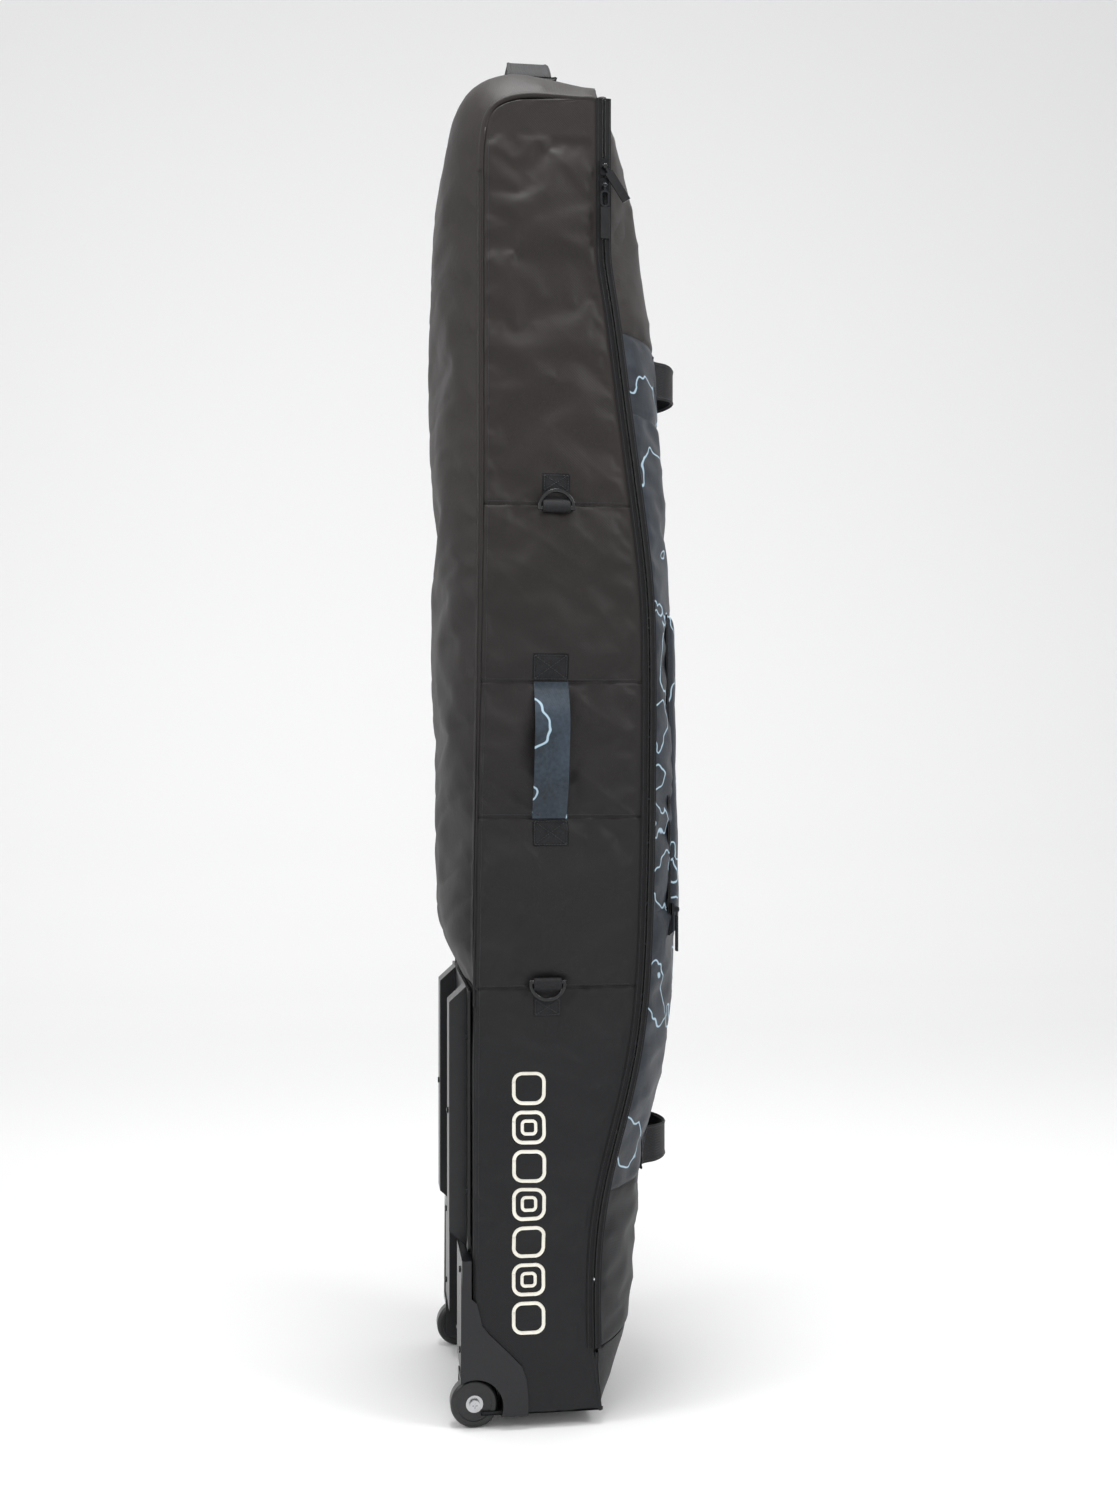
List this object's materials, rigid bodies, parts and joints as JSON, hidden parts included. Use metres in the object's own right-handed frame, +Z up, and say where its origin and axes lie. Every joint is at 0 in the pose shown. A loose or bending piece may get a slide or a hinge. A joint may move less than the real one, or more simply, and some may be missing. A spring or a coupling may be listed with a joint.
{
  "type": "wheeled snowboard bag",
  "caption": "Tall padded bag on two wheels with a zipped domed lid, carrying handles, a raised lid pocket and a back skid plate with two runners.",
  "frame": {"origin": "on the floor, under the middle of the bag's width; Y is 0 near the middle of the base's depth", "axes": "+Z up, towards the top handle; -Y towards the lid; +Y towards the wheels and skid plate; -X is the side with the main zip"},
  "size_m": [0.3888, 0.3296, 1.815],
  "materials": {
    "body_fabric": "matte",
    "print_fabric": "matte",
    "print_webbing": "matte",
    "webbing": "matte",
    "zip_tape": "matte",
    "zip_coil": "satin",
    "slider_metal": "satin",
    "bright_metal": "satin",
    "gloss_plastic": "gloss",
    "housing_plastic": "satin",
    "tyre": "matte",
    "hub_plastic": "satin",
    "screw_metal": "satin",
    "piping": "satin",
    "board": "matte"
  },
  "bodies": {
    "shell": {"axle_bolts": "bright_metal", "back_panel": "body_fabric", "back_piping": "piping", "back_stiffener": "board", "base_board": "board", "base_panel": "body_fabric", "boot_front": "body_fabric", "d_ring_loops": "webbing", "plate_screws": "screw_metal", "side_handle_left": "print_webbing", "side_handle_right": "print_webbing", "side_left_boot": "body_fabric", "side_left_crown": "body_fabric", "side_left_lower": "body_fabric", "side_left_middle": "body_fabric", "side_left_upper": "body_fabric", "side_right_boot": "body_fabric", "side_right_crown": "body_fabric", "side_right_lower": "body_fabric", "side_right_middle": "body_fabric", "side_right_upper": "body_fabric", "skid_plate": "housing_plastic", "skid_runner_left": "housing_plastic", "skid_runner_right": "housing_plastic", "tie_buckles": "gloss_plastic", "tie_strap_lower": "webbing", "tie_strap_upper": "webbing", "top_handle": "webbing", "wheel_housing_left": "housing_plastic", "wheel_housing_right": "housing_plastic", "zip_coil_shell": "zip_coil", "zip_tape_shell": "zip_tape"},
    "ring_lower_left": {"d_ring_lower_left": "gloss_plastic"},
    "ring_lower_right": {"d_ring_lower_right": "gloss_plastic"},
    "ring_upper_left": {"d_ring_upper_left": "gloss_plastic"},
    "ring_upper_right": {"d_ring_upper_right": "gloss_plastic"},
    "lid": {"front_handle_lower": "webbing", "front_handle_upper": "webbing", "lid_crown_panel": "body_fabric", "lid_print_panel": "print_fabric", "lid_side_return": "body_fabric", "lid_toe_panel": "body_fabric", "pocket_panel": "print_fabric", "pocket_zip_tape": "zip_tape", "zip_coil_lid": "zip_coil", "zip_tape_lid": "zip_tape"},
    "pocket_pull_body": {"pocket_pull": "webbing"},
    "pocket_slider_body": {"pocket_slider": "slider_metal"},
    "wheel_left": {"tyre_left": "tyre", "wheel_bearings_left": "bright_metal", "wheel_hub_left": "hub_plastic"},
    "wheel_right": {"tyre_right": "tyre", "wheel_bearings_right": "bright_metal", "wheel_hub_right": "hub_plastic"},
    "pull_upper": {"zip_pull_upper": "webbing"},
    "pull_lower": {"zip_ring_lower": "bright_metal", "zip_tab_lower": "webbing"},
    "slider_lower": {"zip_slider_lower": "slider_metal"},
    "slider_upper": {"zip_slider_upper": "slider_metal"}
  },
  "joints": [
    {"name": "lid_fold", "type": "hinge", "parent": "shell", "child": "lid", "pos_m": [0.17, -0.06, 0.9], "axis": [0, 0, 1], "range_deg": [0, 100]},
    {"name": "wheel_left_spin", "type": "hinge", "parent": "shell", "child": "wheel_left", "pos_m": [-0.148, 0.086, 0.031], "axis": [1, 0, 0], "continuous": true},
    {"name": "wheel_right_spin", "type": "hinge", "parent": "shell", "child": "wheel_right", "pos_m": [0.148, 0.086, 0.031], "axis": [1, 0, 0], "continuous": true},
    {"name": "slider_upper_travel", "type": "slide", "parent": "shell", "child": "slider_upper", "axis": [0, 0, 1], "range_m": [0, 0.05]},
    {"name": "slider_lower_travel", "type": "slide", "parent": "shell", "child": "slider_lower", "axis": [0, 0, 1], "range_m": [-0.06, 0]},
    {"name": "pull_upper_swing", "type": "hinge", "parent": "slider_upper", "child": "pull_upper", "pos_m": [-0.1804, -0.08, 1.621], "axis": [0, 1, 0], "range_deg": [0, 165]},
    {"name": "pull_lower_swing", "type": "hinge", "parent": "slider_lower", "child": "pull_lower", "pos_m": [-0.1804, -0.08, 1.596], "axis": [0, 1, 0], "range_deg": [0, 150]},
    {"name": "ring_upper_left_swing", "type": "hinge", "parent": "shell", "child": "ring_upper_left", "pos_m": [-0.17635, -0.018, 1.181], "axis": [0, -1, 0], "range_deg": [0, 165]},
    {"name": "ring_upper_right_swing", "type": "hinge", "parent": "shell", "child": "ring_upper_right", "pos_m": [0.17635, -0.018, 1.181], "axis": [0, 1, 0], "range_deg": [0, 165]},
    {"name": "ring_lower_left_swing", "type": "hinge", "parent": "shell", "child": "ring_lower_left", "pos_m": [-0.17635, -0.0065, 0.574], "axis": [0, 1, 0], "range_deg": [0, 165]},
    {"name": "ring_lower_right_swing", "type": "hinge", "parent": "shell", "child": "ring_lower_right", "pos_m": [0.17635, -0.0065, 0.574], "axis": [0, -1, 0], "range_deg": [0, 165]},
    {"name": "pocket_slider_travel", "type": "slide", "parent": "lid", "child": "pocket_slider_body", "axis": [0, 0.0091, 1], "range_m": [0, 0.34]},
    {"name": "pocket_pull_swing", "type": "hinge", "parent": "pocket_slider_body", "child": "pocket_pull_body", "pos_m": [-0.1145, -0.1873, 0.659], "axis": [-1, 0, 0], "range_deg": [0, 150]}
  ]
}
